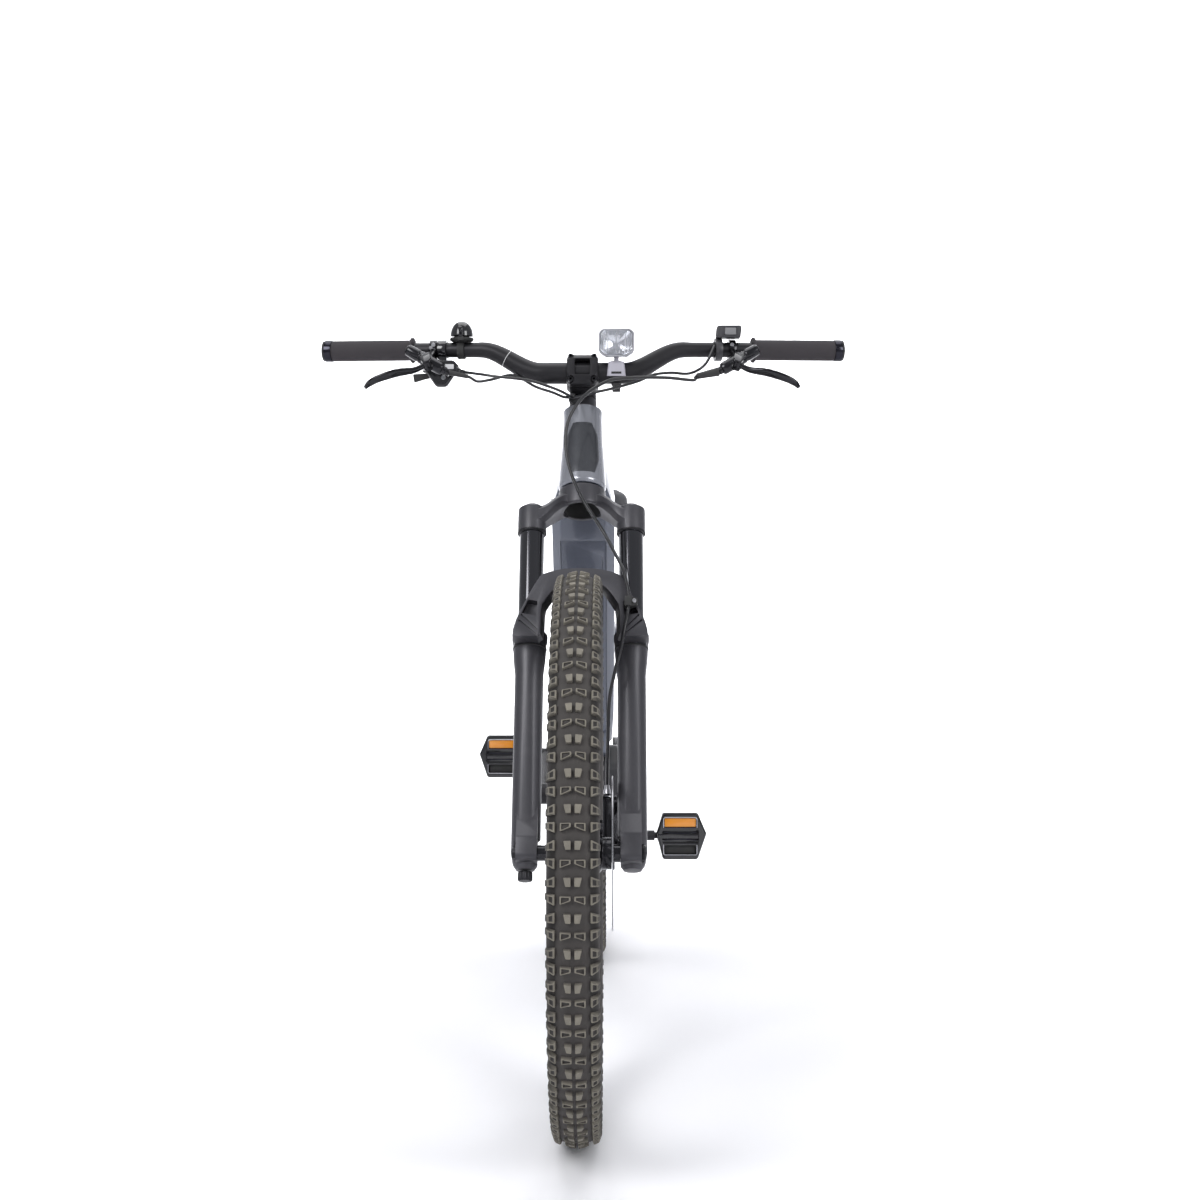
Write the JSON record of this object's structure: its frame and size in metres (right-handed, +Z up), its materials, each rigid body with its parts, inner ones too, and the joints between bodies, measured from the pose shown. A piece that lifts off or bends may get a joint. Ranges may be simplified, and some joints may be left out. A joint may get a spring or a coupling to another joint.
{
  "type": "electric mountain bike",
  "caption": "Hardtail electric mountain bike with mid motor, battery in the down tube, suspension fork, disc brakes, riser bar and trigger shifter.",
  "frame": {"origin": "on the ground, midway between the two wheel centres, in the bike's middle plane", "axes": "+Z up, the bike faces -Y, so +Y points from the front wheel to the rear wheel; +X is the rider's left, and the drivetrain is on -X"},
  "size_m": [0.7852, 1.9648, 1.1212],
  "materials": {
    "amber": "amber prism reflector",
    "black_alloy": "black anodised, satin",
    "black_plastic": "moulded black plastic, fine grain",
    "fork_paint": "satin dark grey paint",
    "frame_paint": "satin blue-grey paint",
    "gloss_black": "glossy black",
    "grey_plastic": "grey moulded plastic",
    "grip_rubber": "matte charcoal grip rubber",
    "hose": "black hose jacket, semi-gloss",
    "lens": "clear lens",
    "saddle_cover": "matte black synthetic leather",
    "steel": "bright brushed steel",
    "tyre_rubber": "matte brown-black tyre rubber"
  },
  "bodies": {
    "frame": {"main_frame": "frame_paint", "drive_motor": "black_plastic", "battery_pack": "black_plastic", "battery_cover": "frame_paint", "seat_clamp": "black_alloy", "rear_brake_caliper": "black_alloy", "rear_thru_axle": "black_alloy", "derailleur_body": "black_alloy", "chain": "steel"},
    "seatpost_and_saddle": {"seatpost": "black_alloy", "saddle_base_and_rails": "black_plastic", "saddle_cushion": "saddle_cover"},
    "rear_wheel": {"rear_tyre": "tyre_rubber", "rear_rim": "black_alloy", "rear_hub_and_spokes": "black_alloy", "rear_brake_disc": "steel"},
    "cassette": {"cassette": "steel"},
    "derailleur_cage": {"derailleur_cage": "black_alloy"},
    "upper_pulley": {"derailleur_pulley_upper": "black_plastic"},
    "lower_pulley": {"derailleur_pulley_lower": "black_plastic"},
    "crankset": {"chainring": "black_alloy", "crank_right": "black_alloy", "crank_left": "black_alloy"},
    "left_pedal": {"pedal_left": "gloss_black", "pedal_left_reflector": "amber"},
    "right_pedal": {"pedal_right": "gloss_black", "pedal_right_reflector": "amber"},
    "steering": {"fork_crown_and_steerer": "fork_paint", "stanchion_left": "gloss_black", "stanchion_right": "gloss_black", "headset_cover": "black_alloy", "stem": "black_alloy", "stem_faceplate": "black_alloy", "handlebar": "black_alloy", "grip_left": "grip_rubber", "grip_right": "grip_rubber", "brake_master_left": "gloss_black", "brake_master_right": "gloss_black", "shifter_body": "black_plastic", "remote_housing": "grey_plastic", "bell": "gloss_black", "headlight_bracket": "grey_plastic", "control_cables": "hose", "front_brake_hose": "hose"},
    "left_brake_lever": {"brake_lever_left": "gloss_black"},
    "right_brake_lever": {"brake_lever_right": "gloss_black"},
    "shift_lever": {"shift_lever": "black_plastic"},
    "release_lever": {"release_lever": "black_plastic"},
    "remote_button": {"remote_button": "black_plastic"},
    "bell_striker": {"bell_striker": "gloss_black"},
    "headlight": {"headlight_head": "grey_plastic", "headlight_lens": "lens"},
    "fork_lowers": {"fork_lowers": "fork_paint", "front_brake_caliper": "black_alloy", "front_thru_axle": "black_alloy"},
    "rebound_dial": {"rebound_dial": "black_plastic"},
    "front_wheel": {"front_tyre": "tyre_rubber", "front_rim": "black_alloy", "front_hub_and_spokes": "black_alloy", "front_brake_disc": "steel"}
  },
  "joints": [
    {"name": "steering_turn", "type": "hinge", "parent": "frame", "child": "steering", "pos_m": [0, -0.34784, 0.86508], "axis": [0, 0.3987, 0.9171], "range_deg": [-65, 65]},
    {"name": "fork_travel", "type": "slide", "parent": "steering", "child": "fork_lowers", "axis": [0, 0.3987, 0.9171], "range_m": [0, 0.15], "stiffness_N_per_m": 8000, "springref_m": -0.01, "deforming": ["front_brake_hose"]},
    {"name": "front_wheel_spin", "type": "hinge", "parent": "fork_lowers", "child": "front_wheel", "pos_m": [0, -0.61, 0.3725], "axis": [1, 0, 0], "continuous": true},
    {"name": "rear_wheel_spin", "type": "hinge", "parent": "frame", "child": "rear_wheel", "pos_m": [0, 0.61, 0.3725], "axis": [1, 0, 0], "continuous": true},
    {"name": "crank_spin", "type": "hinge", "parent": "frame", "child": "crankset", "pos_m": [0, 0.16605, 0.366], "axis": [1, 0, 0], "continuous": true},
    {"name": "cassette_spin", "type": "hinge", "parent": "frame", "child": "cassette", "pos_m": [0, 0.61, 0.3725], "axis": [1, 0, 0], "continuous": true},
    {"name": "derailleur_cage_swing", "type": "hinge", "parent": "frame", "child": "derailleur_cage", "pos_m": [-0.064, 0.624, 0.2845], "axis": [1, 0, 0], "range_deg": [-10, 30], "stiffness_Nm_per_rad": 1.5, "deforming": ["chain"]},
    {"name": "upper_pulley_spin", "type": "hinge", "parent": "derailleur_cage", "child": "upper_pulley", "pos_m": [0, 0.63, 0.2715], "axis": [1, 0, 0], "continuous": true},
    {"name": "lower_pulley_spin", "type": "hinge", "parent": "derailleur_cage", "child": "lower_pulley", "pos_m": [0, 0.595, 0.1895], "axis": [1, 0, 0], "continuous": true},
    {"name": "left_pedal_spin", "type": "hinge", "parent": "crankset", "child": "left_pedal", "pos_m": [0, 0.00957, 0.31365], "axis": [1, 0, 0], "continuous": true},
    {"name": "right_pedal_spin", "type": "hinge", "parent": "crankset", "child": "right_pedal", "pos_m": [0, 0.32252, 0.41835], "axis": [1, 0, 0], "continuous": true},
    {"name": "left_brake_lever_pull", "type": "hinge", "parent": "steering", "child": "left_brake_lever", "pos_m": [0.226, -0.36939, 1.05011], "axis": [0.2109, -0.5815, 0.7857], "range_deg": [0, 25], "stiffness_Nm_per_rad": 1, "springref_deg": -11.46},
    {"name": "right_brake_lever_pull", "type": "hinge", "parent": "steering", "child": "right_brake_lever", "pos_m": [-0.226, -0.36939, 1.05011], "axis": [0.2109, 0.5815, -0.7857], "range_deg": [0, 25], "stiffness_Nm_per_rad": 1, "springref_deg": -11.46},
    {"name": "shift_lever_push", "type": "hinge", "parent": "steering", "child": "shift_lever", "pos_m": [-0.214, -0.30257, 1.04487], "axis": [0, 1, 0], "range_deg": [0, 18], "stiffness_Nm_per_rad": 0.3, "springref_deg": -8.59},
    {"name": "release_lever_push", "type": "hinge", "parent": "steering", "child": "release_lever", "pos_m": [-0.214, -0.30257, 1.04487], "axis": [0, -1, 0], "range_deg": [0, 15], "stiffness_Nm_per_rad": 0.3, "springref_deg": -8.59},
    {"name": "remote_button_press", "type": "slide", "parent": "steering", "child": "remote_button", "axis": [0, 1, 0], "range_m": [0, 0.0015], "stiffness_N_per_m": 800, "springref_m": -0.001},
    {"name": "bell_striker_flick", "type": "hinge", "parent": "steering", "child": "bell_striker", "pos_m": [-0.18, -0.33217, 1.09733], "axis": [1, 0, 0], "range_deg": [-15, 25], "stiffness_Nm_per_rad": 0.05},
    {"name": "headlight_tilt", "type": "hinge", "parent": "steering", "child": "headlight", "pos_m": [0.05, -0.33739, 1.07111], "axis": [1, 0, 0], "range_deg": [-15, 15]},
    {"name": "rebound_dial_turn", "type": "hinge", "parent": "fork_lowers", "child": "rebound_dial", "pos_m": [-0.071, -0.37535, 0.87704], "axis": [0, -0.3987, -0.9171], "range_deg": [-180, 180]},
    {"name": "seatpost_height", "type": "slide", "parent": "frame", "child": "seatpost_and_saddle", "axis": [0, 0.2672, 0.9636], "range_m": [-0.06, 0.1]}
  ],
  "couplings": [
    {"joint": "cassette_spin", "follows": "crank_spin", "ratio": 1.6364},
    {"joint": "upper_pulley_spin", "follows": "crank_spin", "ratio": -3},
    {"joint": "lower_pulley_spin", "follows": "crank_spin", "ratio": 3}
  ]
}
